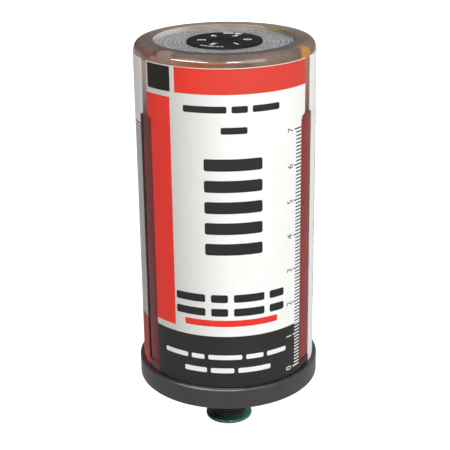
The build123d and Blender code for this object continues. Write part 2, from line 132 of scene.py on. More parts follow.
# Shader helpers

def new_material(name):
    mat = bpy.data.materials.new(name)
    mat.use_nodes = True
    return mat, mat.node_tree.nodes, mat.node_tree.links, mat.node_tree.nodes["Principled BSDF"]


def object_coordinates(nodes, links, stretch=(1, 1, 1)):
    """Object coordinates in millimetres, stretched along the axes."""
    coord = nodes.new("ShaderNodeTexCoord")
    scale = nodes.new("ShaderNodeMapping")
    scale.inputs["Scale"].default_value = [s / MM for s in stretch]
    links.new(coord.outputs["Object"], scale.inputs["Vector"])
    return scale.outputs["Vector"]


def axes(nodes, links, vector):
    """The X, Y and Z outputs of a vector."""
    split = nodes.new("ShaderNodeSeparateXYZ")
    links.new(vector, split.inputs["Vector"])
    return split.outputs


def noise(nodes, links, vector, size, detail=3.0):
    """Noise whose features are about size millimetres across."""
    tex = nodes.new("ShaderNodeTexNoise")
    tex.inputs["Scale"].default_value = 1.0 / size
    tex.inputs["Detail"].default_value = detail
    links.new(vector, tex.inputs["Vector"])
    return tex.outputs["Fac"]


def fine_noise(nodes, links, vector, size=GRAIN):
    """The fine grain of moulded plastic and printed film."""
    return noise(nodes, links, vector, size, detail=2.0)


def ramp_value(nodes, links, fac, low, high, start=0.3, end=0.7):
    """Maps a value that runs from start to end to a number between low and high."""
    remap = nodes.new("ShaderNodeMapRange")
    remap.inputs["From Min"].default_value = start
    remap.inputs["From Max"].default_value = end
    remap.inputs["To Min"].default_value = low
    remap.inputs["To Max"].default_value = high
    links.new(fac, remap.inputs["Value"])
    return remap.outputs["Result"]


def mix_colour(nodes, links, fac, first, second):
    """Mixes two plain colours by a factor."""
    mix = nodes.new("ShaderNodeMix")
    mix.data_type = "RGBA"
    mix.inputs["A"].default_value = (*first, 1)
    mix.inputs["B"].default_value = (*second, 1)
    links.new(fac, mix.inputs["Factor"])
    return mix.outputs["Result"]


def layer(nodes, links, fac, under, over):
    """Lays a plain colour over a colour socket by a factor."""
    mix = nodes.new("ShaderNodeMix")
    mix.data_type = "RGBA"
    links.new(fac, mix.inputs["Factor"])
    links.new(under, mix.inputs["A"])
    mix.inputs["B"].default_value = (*over, 1)
    return mix.outputs["Result"]


def product(nodes, links, first, second):
    node = nodes.new("ShaderNodeMath")
    node.operation = "MULTIPLY"
    links.new(first, node.inputs[0])
    links.new(second, node.inputs[1])
    return node.outputs["Value"]


def stain_at(nodes, links, vector, place, radius, wander):
    """A soft spot about a place in millimetres, with an edge that wanders by a noise."""
    away = nodes.new("ShaderNodeVectorMath")
    away.operation = "DISTANCE"
    away.inputs[1].default_value = place
    links.new(vector, away.inputs[0])
    edge = nodes.new("ShaderNodeMath")
    edge.operation = "MULTIPLY_ADD"
    edge.inputs[1].default_value = radius
    links.new(wander, edge.inputs[0])
    links.new(away.outputs["Value"], edge.inputs[2])
    return ramp_value(nodes, links, edge.outputs["Value"], 1.0, 0.0, radius * 1.15, radius * 1.6)


def bump(nodes, links, bsdf, height, strength, distance):
    """Relief from a height, its distance in millimetres."""
    node = nodes.new("ShaderNodeBump")
    node.inputs["Strength"].default_value = strength
    node.inputs["Distance"].default_value = distance * MM
    links.new(height, node.inputs["Height"])
    links.new(node.outputs["Normal"], bsdf.inputs["Normal"])


def surface(
    name,
    colour,
    roughness,
    spread=0.06,
    metallic=0.0,
    patch=9.0,
    bump_strength=0.15,
    bump_depth=0.02,
    coat=0.0,
    specular=0.5,
    stretch=(1, 1, 1),
):
    """A surface with soft patches of colour, a varied gloss and a fine moulded grain."""
    mat, nodes, links, bsdf = new_material(name)
    vector = object_coordinates(nodes, links, stretch)
    patches = noise(nodes, links, vector, patch)
    fine = fine_noise(nodes, links, vector)
    shade = ramp_value(nodes, links, patches, 0.0, 1.0)
    dark = tuple(c * (1 - spread) for c in colour)
    light = tuple(min(1.0, c * (1 + spread)) for c in colour)
    links.new(mix_colour(nodes, links, shade, dark, light), bsdf.inputs["Base Color"])
    gloss = ramp_value(nodes, links, fine, roughness * 0.85, min(1.0, roughness * 1.15))
    links.new(gloss, bsdf.inputs["Roughness"])
    bsdf.inputs["Metallic"].default_value = metallic
    bsdf.inputs["Coat Weight"].default_value = coat
    bsdf.inputs["Coat Roughness"].default_value = COAT_ROUGHNESS
    bsdf.inputs["Specular IOR Level"].default_value = specular
    bump(nodes, links, bsdf, fine, bump_strength, bump_depth)
    return mat


def printed_film(name, colour, spread):
    """Satin printed film: an even colour with a faint mottle and a fine orange peel."""
    return surface(
        name, colour, 0.40, spread=spread, patch=MOTTLE, bump_strength=0.06, specular=FILM_SPECULAR
    )


def graded_film(name, left, right, start, end):
    """Printed film with painted light and shade: its colour changes gently across the front, from start to
    end in millimetres.
    """
    mat, nodes, links, bsdf = new_material(name)
    vector = object_coordinates(nodes, links)
    fine = fine_noise(nodes, links, vector)
    # Painted light and shade: the ground runs from the left colour to the right colour.
    painted_shade = ramp_value(nodes, links, axes(nodes, links, vector)["X"], 0.0, 1.0, start, end)
    ground = mix_colour(nodes, links, painted_shade, left, right)
    faint = ramp_value(nodes, links, noise(nodes, links, vector, MOTTLE), 0.0, 0.10)
    worn = tuple(0.85 * c for c in left)
    links.new(layer(nodes, links, faint, ground, worn), bsdf.inputs["Base Color"])
    links.new(ramp_value(nodes, links, fine, 0.34, 0.46), bsdf.inputs["Roughness"])
    bsdf.inputs["Specular IOR Level"].default_value = FILM_SPECULAR
    bump(nodes, links, bsdf, fine, 0.06, 0.02)
    return mat


def clear_plastic():
    """Clear amber-tinted plastic: pale through one wall, deep amber along it."""
    mat, nodes, links, bsdf = new_material("clear_plastic")
    vector = object_coordinates(nodes, links, (1, 1, 0.4))
    flow = noise(nodes, links, vector, 12.0)
    bsdf.inputs["Base Color"].default_value = (1.0, 1.0, 1.0, 1)
    bsdf.inputs["Transmission Weight"].default_value = 1.0
    bsdf.inputs["IOR"].default_value = 1.36
    bsdf.inputs["Roughness"].default_value = 0.0
    bump(nodes, links, bsdf, flow, 0.12, 0.05)
    absorb = nodes.new("ShaderNodeVolumeAbsorption")
    absorb.inputs["Color"].default_value = (0.82, 0.60, 0.42, 1)
    absorb.inputs["Density"].default_value = 220.0
    links.new(absorb.outputs["Volume"], nodes["Material Output"].inputs["Volume"])
    return mat


def rim_plastic():
    """The shell's thick moulded rim: smoky brown, amber on the shoulder, with painted shade by the opening
    at the front, painted light towards the back and a painted highlight on the opening's edge at the left.
    """
    mat, nodes, links, bsdf = new_material("rim_plastic")
    vector = object_coordinates(nodes, links)
    cloud = noise(nodes, links, vector, 9.0)
    wander = noise(nodes, links, vector, 3.5)
    streak = noise(nodes, links, vector, 2.2)
    split = axes(nodes, links, vector)
    flat = nodes.new("ShaderNodeVectorMath")
    flat.operation = "MULTIPLY"
    flat.inputs[1].default_value = (1, 1, 0)
    links.new(vector, flat.inputs[0])
    length = nodes.new("ShaderNodeVectorMath")
    length.operation = "LENGTH"
    links.new(flat.outputs["Vector"], length.inputs[0])
    radius = length.outputs["Value"]

    inner = ramp_value(nodes, links, radius, 1.0, 0.0, 21.6, 22.8)
    wall = ramp_value(nodes, links, radius, 1.0, 0.0, OPENING_R + 0.2, OPENING_R + 0.5)
    front = ramp_value(nodes, links, split["Y"], 0.85, 0.0, -14.0, 4.0)
    back = ramp_value(nodes, links, split["Y"], 0.0, 0.8, 2.0, 16.0)
    left = ramp_value(nodes, links, split["X"], 1.0, 0.0, -1.0, 4.0)
    painted_highlight_left = ramp_value(nodes, links, split["X"], 1.0, 0.0, -15.0, -8.0)
    far_left = ramp_value(nodes, links, split["X"], 0.9, 0.0, -16.0, -8.0)
    shoulder = ramp_value(nodes, links, split["Z"], 0.95, 0.0, CANISTER_TOP - 1.7, CANISTER_TOP - 0.9)
    amber = product(nodes, links, shoulder, ramp_value(nodes, links, wander, 0.45, 1.0, 0.38, 0.58))
    layers = [
        # Painted shade: a dark band by the opening, at the front only.
        (product(nodes, links, inner, front), (0.080, 0.055, 0.052)),
        # Painted light: the rim paler towards the back.
        (back, (0.36, 0.28, 0.215)),
        (product(nodes, links, amber, left), (0.33, 0.105, 0.030)),
        (product(nodes, links, amber, far_left), (0.52, 0.31, 0.25)),
        # Painted highlight: the opening's edge pale at the left.
        (product(nodes, links, wall, painted_highlight_left), (0.60, 0.58, 0.55)),
    ]
    for place, size, tone in RIM_PATCHES:
        layers.append((stain_at(nodes, links, vector, place, size, wander), tone))

    shade = ramp_value(nodes, links, cloud, 0.0, 1.0, 0.32, 0.68)
    colour = mix_colour(nodes, links, shade, (0.135, 0.085, 0.064), (0.25, 0.180, 0.140))
    for mask, tone in layers:
        colour = layer(nodes, links, mask, colour, tone)
    links.new(colour, bsdf.inputs["Base Color"])
    bsdf.inputs["Transmission Weight"].default_value = 0.2
    bsdf.inputs["IOR"].default_value = 1.45
    links.new(ramp_value(nodes, links, streak, 0.06, 0.16), bsdf.inputs["Roughness"])
    bump(nodes, links, bsdf, streak, 0.10, 0.05)
    return mat


def haze_plastic():
    """The shell's wall by the drive unit: smoky and hazy, darker down towards the grease."""
    mat, nodes, links, bsdf = new_material("haze_plastic")
    flow = noise(nodes, links, object_coordinates(nodes, links, (1, 1, 0.4)), 6.0)
    split = axes(nodes, links, object_coordinates(nodes, links))
    side = ramp_value(nodes, links, split["X"], 0.0, 1.0, -8.0, 8.0)
    tint = mix_colour(nodes, links, side, (0.80, 0.58, 0.52), (0.53, 0.24, 0.175))
    fall = ramp_value(nodes, links, split["Z"], 1.0, 0.0, HAZE_FOOT, HAZE_FOOT + 9.0)
    tint = layer(nodes, links, fall, tint, (0.20, 0.050, 0.045))
    shade = ramp_value(nodes, links, flow, 0.0, 0.35)
    links.new(layer(nodes, links, shade, tint, (0.26, 0.19, 0.16)), bsdf.inputs["Base Color"])
    bsdf.inputs["Transmission Weight"].default_value = 0.35
    bsdf.inputs["IOR"].default_value = 1.4
    links.new(ramp_value(nodes, links, flow, 0.10, 0.25), bsdf.inputs["Roughness"])
    bump(nodes, links, bsdf, flow, 0.12, 0.05)
    return mat


def grease_material():
    """Dark red grease against the wall, with smears, and painted shade darkening it at the left."""
    mat, nodes, links, bsdf = new_material("red_grease")
    smear = noise(nodes, links, object_coordinates(nodes, links, (1, 1, 0.35)), 7.0, detail=4.0)
    split = axes(nodes, links, object_coordinates(nodes, links))
    shade = ramp_value(nodes, links, smear, 0.0, 1.0)
    colour = mix_colour(nodes, links, shade, (0.37, 0.031, 0.027), (0.47, 0.045, 0.039))
    # Painted shade: the grease darker towards the left.
    painted_shade_left = ramp_value(nodes, links, split["X"], 0.9, 0.0, -16.0, -2.0)
    links.new(layer(nodes, links, painted_shade_left, colour, (0.15, 0.012, 0.014)), bsdf.inputs["Base Color"])
    links.new(ramp_value(nodes, links, smear, 0.30, 0.50), bsdf.inputs["Roughness"])
    bsdf.inputs["Specular IOR Level"].default_value = 0.0
    bump(nodes, links, bsdf, smear, 0.15, 0.10)
    return mat


def bellows_material():
    """The bag's thin foil, finely crinkled."""
    mat, nodes, links, bsdf = new_material("bellows_film")
    crinkle = noise(nodes, links, object_coordinates(nodes, links), 2.2, detail=4.0)
    shade = ramp_value(nodes, links, crinkle, 0.0, 1.0)
    colour = mix_colour(nodes, links, shade, (0.60, 0.46, 0.38), (0.76, 0.62, 0.52))
    links.new(colour, bsdf.inputs["Base Color"])
    links.new(ramp_value(nodes, links, crinkle, 0.22, 0.42), bsdf.inputs["Roughness"])
    bsdf.inputs["Metallic"].default_value = 0.35
    bump(nodes, links, bsdf, crinkle, 0.35, 0.12)
    return mat


def silver_plate_material():
    """Silver printed disc: a fine grain, cloudy patches and dull print haze."""
    mat, nodes, links, bsdf = new_material("silver_plate")
    vector = object_coordinates(nodes, links)
    cloud = noise(nodes, links, vector, 2.4, detail=4.0)
    fine = fine_noise(nodes, links, vector, 0.35)
    shade = ramp_value(nodes, links, cloud, 0.0, 1.0)
    colour = mix_colour(nodes, links, shade, (0.42, 0.42, 0.43), (0.63, 0.64, 0.655))
    links.new(colour, bsdf.inputs["Base Color"])
    links.new(ramp_value(nodes, links, fine, 0.32, 0.5), bsdf.inputs["Roughness"])
    bsdf.inputs["Metallic"].default_value = 0.55
    bump(nodes, links, bsdf, fine, 0.2, 0.02)
    return mat


def scuffed_edge():
    """The cap's lip: black plastic with a pale painted highlight at the front."""
    mat, nodes, links, bsdf = new_material("scuffed_edge")
    vector = object_coordinates(nodes, links)
    wander = noise(nodes, links, vector, 5.0)
    fine = fine_noise(nodes, links, vector)
    shade = ramp_value(nodes, links, wander, 0.0, 1.0)
    colour = mix_colour(nodes, links, shade, (0.036, 0.033, 0.036), (0.044, 0.041, 0.044))
    # Painted highlight: a pale spot on the lip at the front.
    painted_highlight = stain_at(nodes, links, vector, HIGHLIGHT_PLACE, HIGHLIGHT_SIZE, wander)
    links.new(layer(nodes, links, painted_highlight, colour, (0.135, 0.126, 0.126)), bsdf.inputs["Base Color"])
    links.new(ramp_value(nodes, links, fine, 0.28, 0.38), bsdf.inputs["Roughness"])
    bsdf.inputs["Specular IOR Level"].default_value = 0.55
    bump(nodes, links, bsdf, fine, 0.2, 0.025)
    return mat


def green_plastic():
    """The plug's green plastic, with painted shade darkening its left side."""
    mat, nodes, links, bsdf = new_material("green_plastic")
    vector = object_coordinates(nodes, links)
    fine = fine_noise(nodes, links, vector)
    # Painted shade: dark on the left, full green on the right.
    shade = ramp_value(nodes, links, axes(nodes, links, vector)["X"], 0.0, 1.0, -4.5, 4.5)
    colour = mix_colour(nodes, links, shade, (0.010, 0.026, 0.021), (0.058, 0.250, 0.175))
    patches = ramp_value(nodes, links, noise(nodes, links, vector, 4.0), 0.0, 0.15)
    links.new(layer(nodes, links, patches, colour, (0.026, 0.100, 0.072)), bsdf.inputs["Base Color"])
    links.new(ramp_value(nodes, links, fine, 0.26, 0.35), bsdf.inputs["Roughness"])
    bsdf.inputs["Coat Weight"].default_value = 0.2
    bsdf.inputs["Coat Roughness"].default_value = COAT_ROUGHNESS
    bump(nodes, links, bsdf, fine, 0.15, 0.02)
    return mat


MATERIALS = {
    "scuffed_edge": scuffed_edge(),
    "green_plastic": green_plastic(),
    "clear_plastic": clear_plastic(),
    "rim_plastic": rim_plastic(),
    "haze_plastic": haze_plastic(),
    "red_grease": grease_material(),
    "bellows_film": bellows_material(),
    "silver_plate": silver_plate_material(),
    # Painted shade: the white and side films darker towards the left; the red film painted lighter at the
    # left against that shade.
    "label_white": graded_film("label_white", (0.66, 0.65, 0.62), (0.90, 0.90, 0.88), -15.0, 0.0),
    "label_side": graded_film("label_side", (0.84, 0.84, 0.81), (0.88, 0.88, 0.86), -10.0, 10.0),
    "label_red": graded_film("label_red", (0.82, 0.037, 0.022), (0.68, 0.056, 0.038), -12.0, 2.0),
    # Painted light: the red strip's ink a little lighter than the red band's, against the shade at the left.
    "label_strip": printed_film("label_strip", (0.86, 0.040, 0.025), 0.03),
    "label_maroon": printed_film("label_maroon", (0.16, 0.050, 0.042), 0.05),
    "label_black": printed_film("label_black", (0.013, 0.011, 0.010), 0.08),
    "label_charcoal": printed_film("label_charcoal", (0.026, 0.023, 0.022), 0.08),
    "ink_dark": printed_film("ink_dark", (0.020, 0.020, 0.021), 0.06),
    # Painted shadow along the windows' edges.
    "painted_edge_shadow": printed_film("painted_edge_shadow", (0.030, 0.012, 0.010), 0.06),
    "ink_grey": printed_film("ink_grey", (0.22, 0.22, 0.22), 0.06),
    "ink_white": printed_film("ink_white", (0.86, 0.86, 0.84), 0.02),
    "ink_plate": printed_film("ink_plate", (0.20, 0.20, 0.215), 0.10),
    "ink_red": printed_film("ink_red", (0.82, 0.036, 0.022), 0.03),
    "black_plastic": surface(
        "black_plastic", (0.040, 0.037, 0.040), 0.34,
        spread=0.10, patch=6.0, bump_strength=0.2, bump_depth=0.025, specular=0.55,
    ),
    "dial_plastic": surface(
        "dial_plastic", (0.007, 0.007, 0.007), 0.48,
        spread=0.10, patch=5.0, bump_strength=0.2, specular=0.12,
    ),
    "housing_plastic": surface(
        "housing_plastic", (0.66, 0.54, 0.47), 0.45, spread=0.10, patch=7.0, specular=0.2
    ),
    "piston_plastic": surface(
        "piston_plastic", (0.30, 0.040, 0.032), 0.45, spread=0.15, patch=4.0, specular=0.1
    ),
    "seal_rubber": surface(
        "seal_rubber", (0.016, 0.016, 0.016), 0.55, spread=0.10, patch=3.0, specular=0.25
    ),
    "seal_greased": surface(
        "seal_greased", (0.20, 0.028, 0.022), 0.45, spread=0.20, patch=2.0, specular=0.1
    ),
    "cell_steel": surface(
        "cell_steel", (0.60, 0.60, 0.60), 0.30, spread=0.06, metallic=1.0, stretch=(1, 8, 1)
    ),
    "contact_brass": surface("contact_brass", (0.76, 0.58, 0.28), 0.28, spread=0.08, metallic=1.0),
    "board_laminate": surface(
        "board_laminate", (0.025, 0.16, 0.07), 0.40, spread=0.12, patch=3.0, coat=0.4
    ),
    "screw_steel": surface("screw_steel", (0.55, 0.55, 0.56), 0.32, spread=0.08, metallic=1.0),
}

NODE_LOOKS = {
    "base_cap": "black_plastic",
    "base_seal": "seal_rubber",
    "outlet_plug": "green_plastic",
    "piston": "piston_plastic",
    "piston_seal_lower": "seal_greased",
    "piston_seal_upper": "seal_greased",
    "bellows_clamp_ring": "piston_plastic",
    "drive_floor": "housing_plastic",
    "drive_housing": "housing_plastic",
    "drive_seal": "seal_rubber",
    "gas_cell": "cell_steel",
    "gas_cell_seal": "seal_rubber",
    "battery_left": "cell_steel",
    "battery_right": "cell_steel",
    "contact_bridge": "contact_brass",
    "contact_springs": "contact_brass",
    "circuit_board": "board_laminate",
    "control_chip": "dial_plastic",
    "rotary_switch": "black_plastic",
    "board_screws": "screw_steel",
    "top_plate": "silver_plate",
    "dial_bezel": "dial_plastic",
    "selector_knob": "dial_plastic",
}


def dress_nodes():
    """Gives the source's own meshes their looks."""
    for node, look in NODE_LOOKS.items():
        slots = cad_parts[node].data.materials
        slots.clear()
        slots.append(MATERIALS[look])


# Mesh helpers

def link_mesh(name, bm, looks, smooth_angle=35.0):
    """An object from a bmesh, smooth except at edges sharper than the angle."""
    mesh = bpy.data.meshes.new(name)
    bmesh.ops.recalc_face_normals(bm, faces=bm.faces)
    bm.to_mesh(mesh)
    bm.free()
    obj = bpy.data.objects.new(name, mesh)
    bpy.context.scene.collection.objects.link(obj)
    for look in looks:
        mesh.materials.append(MATERIALS[look])
    mesh.shade_smooth()
    mesh.set_sharp_from_angle(angle=math.radians(smooth_angle))
    return obj


def arc(cx, cz, r, start, end, steps):
    """Points of an arc in the half-section, from start to end in degrees."""
    angles = [math.radians(start + (end - start) * i / steps) for i in range(steps + 1)]
    return [(cx + r * math.cos(a), cz + r * math.sin(a)) for a in angles]


def spin(profile, segments=192):
    """A ring of quads from a half-section of (radius, height) in millimetres; a radius may be a
    function of the angle."""
    bm = bmesh.new()
    rings = []
    for i in range(segments):
        a = 2 * math.pi * i / segments
        ring = []
        for r, z in profile:
            radius = r(a) if callable(r) else r
            ring.append(bm.verts.new((radius * MM * math.cos(a), radius * MM * math.sin(a), z * MM)))
        rings.append(ring)
    count = len(profile)
    for i in range(segments):
        here, there = rings[i], rings[(i + 1) % segments]
        for k in range(count):
            n = (k + 1) % count
            bm.faces.new((here[k], there[k], there[n], here[n]))
    return bm


def revolve(name, profile, looks, segments, smooth_angle=35.0):
    """A turned object; points on the axis are merged."""
    bm = spin(profile, segments)
    bmesh.ops.remove_doubles(bm, verts=bm.verts, dist=1e-7)
    return link_mesh(name, bm, looks, smooth_angle)


def on_label(phi, z, r):
    """A point at angle phi from the front, positive to the right, and height z, in metres."""
    a = math.radians(phi - 90)
    return Vector((r * MM * math.cos(a), r * MM * math.sin(a), z * MM))


def arc_mm(phi):
    """Millimetres round the label for an angle from the front."""
    return math.radians(phi) * LABEL_R


def to_phi(u):
    """The angle from the front for millimetres round the label."""
    return math.degrees(u / LABEL_R)


def finish_piece(obj, body, *nodes, slot):
    """Puts a piece on its body, in place of its nodes; the slot is not used."""
    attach(obj, body)
    if nodes:
        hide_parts(*nodes)


# Flat print: u runs round the label in millimetres from the front, z runs up in millimetres

# Degrees of a strip that stays flat, and the film's thickness, a hair less than the solid's
STRIP = 2.0
FILM = LABEL_THICKNESS - 0.02


def rounded_box(u0, u1, z0, z1, radius):
    """The outline of a box with rounded corners."""
    radius = min(radius, (u1 - u0) / 2, (z1 - z0) / 2)
    corners = (
        (u1 - radius, z1 - radius, 0),
        (u0 + radius, z1 - radius, 90),
        (u0 + radius, z0 + radius, 180),
        (u1 - radius, z0 + radius, 270),
    )
    points = []
    for cu, cz, start in corners:
        points += arc(cu, cz, radius, start, start + 90, 4)
    return points


def curve_to_bmesh(curve):
    """The mesh of a flat curve, as thick as ink, standing on z = 0."""
    curve.extrude = INK / 2
    obj = bpy.data.objects.new("outline", curve)
    bpy.context.scene.collection.objects.link(obj)
    bpy.context.view_layer.update()
    graph = bpy.context.evaluated_depsgraph_get()
    mesh = bpy.data.meshes.new_from_object(obj.evaluated_get(graph))
    bm = bmesh.new()
    bm.from_mesh(mesh)
    bpy.data.objects.remove(obj)
    bpy.data.curves.remove(curve)
    bpy.data.meshes.remove(mesh)
    bmesh.ops.remove_doubles(bm, verts=bm.verts, dist=1e-5)
    bmesh.ops.translate(bm, verts=bm.verts, vec=(0, 0, INK / 2))
    return bm


def flat_solid(outlines):
    """A layer of ink from outlines; an outline inside another is a hole."""
    curve = bpy.data.curves.new("outline", "CURVE")
    curve.dimensions = "2D"
    curve.fill_mode = "BOTH"
    for outline in outlines:
        spline = curve.splines.new("POLY")
        spline.points.add(len(outline) - 1)
        for point, (u, z) in zip(spline.points, outline):
            point.co = (u, z, 0, 1)
        spline.use_cyclic_u = True
    return curve_to_bmesh(curve)


def text_solid(body, height, turn, place, bold=0.0):
    """Figures in ink of the given height, centred on a place and turned about it."""
    curve = bpy.data.curves.new("figure", "FONT")
    curve.body = body
    curve.align_x = "CENTER"
    curve.align_y = "CENTER"
    curve.size = height / FIGURE_SHARE
    curve.offset = bold
    bm = curve_to_bmesh(curve)
    bmesh.ops.rotate(bm, verts=bm.verts, matrix=Matrix.Rotation(math.radians(turn), 3, "Z"))
    bmesh.ops.translate(bm, verts=bm.verts, vec=(*place, 0))
    return bm


def join(bms):
    """One bmesh from several."""
    whole = bmesh.new()
    for bm in bms:
        mesh = bpy.data.meshes.new("joined")
        bm.to_mesh(mesh)
        bm.free()
        whole.from_mesh(mesh)
        bpy.data.meshes.remove(mesh)
    return whole


def cut_lines(bm, axis, places):
    """Splits the faces of a flat mesh along lines at the given places."""
    normal = Vector((1, 0, 0)) if axis == "u" else Vector((0, 1, 0))
    for place in places:
        geom = bm.verts[:] + bm.edges[:] + bm.faces[:]
        bmesh.ops.bisect_plane(bm, geom=geom, dist=1e-6, plane_co=normal * place, plane_no=normal)


def cut_strips(bm, left, right):
    """Splits a flat mesh into strips between two places, so that it can bend."""
    first = math.ceil(to_phi(left) / STRIP)
    last = math.floor(to_phi(right) / STRIP)
    cut_lines(bm, "u", [arc_mm(k * STRIP) for k in range(first, last + 1)])


def bend(bm, base_r):
    """Bends a flat mesh round the canister, standing on base_r."""
    for v in bm.verts:
        v.co = on_label(to_phi(v.co.x), v.co.y, base_r + v.co.z)


def label_ink(name, bms, look):
    """Printed shapes as a thin layer on the label."""
    bm = join(bms)
    us = [v.co.x for v in bm.verts]
    cut_strips(bm, min(us), max(us))
    bend(bm, LABEL_R + INK_LIFT)
    finish_piece(link_mesh(name, bm, [look]), "shell", slot="label_film")


# Label panels

def panel_outline(left_gap, right_gap):
    """The outline of one film panel between two gaps, with its half of each window."""
    mouth = 0.9
    corner = 0.35
    left_window = arc_mm(left_gap + WINDOW_HALF)
    left_slit = arc_mm(left_gap + SLIT_HALF)
    left_seam = left_window + SEAM / 2
    right_window = arc_mm(right_gap - WINDOW_HALF)
    right_slit = arc_mm(right_gap - SLIT_HALF)
    right_seam = arc_mm(right_gap + WINDOW_HALF) - SEAM / 2
    left = [(left_seam, LABEL_BOTTOM), (left_seam, WINDOW_LOW), (left_window, WINDOW_LOW)]
    left += [(left_window, WINDOW_HIGH - corner), (left_window - corner, WINDOW_HIGH)]
    left += arc(left_slit + mouth, WINDOW_HIGH + mouth, mouth, 270, 180, 5)
    left += [(left_slit, LABEL_TOP)]
    right = [(right_seam, LABEL_BOTTOM), (right_seam, WINDOW_LOW), (right_window, WINDOW_LOW)]
    right += [(right_window, WINDOW_HIGH - corner), (right_window + corner, WINDOW_HIGH)]
    right += arc(right_slit - mouth, WINDOW_HIGH + mouth, mouth, 270, 360, 5)
    right += [(right_slit, LABEL_TOP)]
    return left + right[::-1]


def film_panel(name, left_gap, right_gap, ground, fields):
    """One film panel: its ground colour, then fields of colour as (look, phi0, phi1, z0, z1)."""
    bm = bmesh.new()
    bm.faces.new([bm.verts.new((u, z, 0)) for u, z in panel_outline(left_gap, right_gap)])
    left, right = arc_mm(left_gap), arc_mm(right_gap + WINDOW_HALF)
    edges_u = {arc_mm(phi) for field in fields for phi in field[1:3] if left < arc_mm(phi) < right}
    edges_z = {z for field in fields for z in field[3:5] if LABEL_BOTTOM < z < LABEL_TOP}
    cut_lines(bm, "u", sorted(edges_u))
    cut_lines(bm, "z", sorted(edges_z))
    cut_strips(bm, left, right)
    looks = [ground] + sorted({field[0] for field in fields} - {ground})
    for face in bm.faces:
        centre = face.calc_center_bounds()
        for look, phi0, phi1, z0, z1 in fields:
            if arc_mm(phi0) < centre.x < arc_mm(phi1) and z0 < centre.y < z1:
                face.material_index = looks.index(look)
    made = bmesh.ops.extrude_face_region(bm, geom=bm.faces[:], use_keep_orig=True)
    for v in made["geom"]:
        if isinstance(v, bmesh.types.BMVert):
            v.co.z = FILM
    bend(bm, LABEL_R - FILM)
    finish_piece(link_mesh(name, bm, looks), "shell", name.replace("_film", ""), slot="label_film")


def row(z):
    """Height above the outlet's shoulder of a height on the printed scale."""
    return z + SCALE_ZERO


BAND_TOP = row(13.3)
SIDE_BAND_TOP = row(13.0)
HEADER_FOOT = row(81.4)

# Fields of colour on the panels, as (look, phi0, phi1, z0, z1)
FRONT_FIELDS = (
    ("label_charcoal", -60, 70, LABEL_BOTTOM, BAND_TOP),
    ("label_strip", -57.0, -35.3, row(15.2), row(80.0)),
    ("label_red", -31.7, 60.0, HEADER_FOOT, row(88.12)),
    ("label_black", -54.3, -34.9, HEADER_FOOT, row(88.0)),
)
LEFT_FIELDS = (
    ("label_red", -179, -50, LABEL_BOTTOM, SIDE_BAND_TOP),
    ("label_maroon", -65.2, -50, LABEL_BOTTOM, WINDOW_LOW),
)
RIGHT_FIELDS = (("label_red", 130, 190, LABEL_BOTTOM, SIDE_BAND_TOP),)


def label_panels():
    right, back, left = GAP_ANGLES
    film_panel("label_front_film", left - 360, right, "label_white", FRONT_FIELDS)
    film_panel("label_left_film", back - 360, left - 360, "label_side", LEFT_FIELDS)
    film_panel("label_right_film", right, back, "label_side", RIGHT_FIELDS)


# The printed scales beside the windows: the angle at which the ticks end, and how far the plain and
# the tenth ticks reach to the left of it

FRONT_SCALE = (53.5, 5.2, 6.8)
LEFT_SCALE = (-65.9, 12.5, 14.0)
TICK_WIDTH = 0.38
FIGURE_PHI = 43.3
FIGURE_HEIGHT = 2.0


def scale_ticks(edge, length, tenth_length, on_band):
    """Ticks at each millimetre, long ones at each tenth, on or above the dark band."""
    outlines = []
    for step in range(SCALE_LENGTH + 1):
        z = row(step)
        if (z < BAND_TOP) != on_band:
            continue
        reach = tenth_length if step % 10 == 0 else length
        ends = (arc_mm(edge - reach), arc_mm(edge))
        outlines.append(rounded_box(*ends, z - TICK_WIDTH / 2, z + TICK_WIDTH / 2, 0.02))
    return outlines


def scale_figures(on_band):
    """The figures 0 to 7 at each tenth tick, lying on their side."""
    bms = []
    for figure in range(SCALE_LENGTH // 10 + 1):
        place = (arc_mm(FIGURE_PHI), row(10 * figure))
        if (place[1] < BAND_TOP) == on_band:
            bms.append(text_solid(str(figure), FIGURE_HEIGHT, 90, place))
    return bms


def printed_scales():
    for on_band, look, tag in ((False, "ink_dark", "dark"), (True, "ink_white", "light")):
        front = [flat_solid(scale_ticks(*FRONT_SCALE, on_band))] + scale_figures(on_band)
        label_ink("scale_front_" + tag, front, look)
    left = [flat_solid(scale_ticks(*LEFT_SCALE, on_band)) for on_band in (False, True)]
    label_ink("scale_left", left, "ink_dark")
    # Painted shadows: thin dark strips along the windows' edges, where the label's cut edge shades the wall.
    edges = [
        rounded_box(arc_mm(-65.9), arc_mm(-65.75) + 0.55, WINDOW_LOW, WINDOW_HIGH, 0.05),
        rounded_box(arc_mm(53.65), arc_mm(54.15), WINDOW_LOW, WINDOW_HIGH - 1.0, 0.05),
    ]
    label_ink("window_edge_shadows", [flat_solid(edges)], "painted_edge_shadow")


# Generic print in the places of the words: plain bars and blocks. A row of blocks is given as (phi0,
# phi1, low, high, widths, gap, corner), its heights on the printed scale

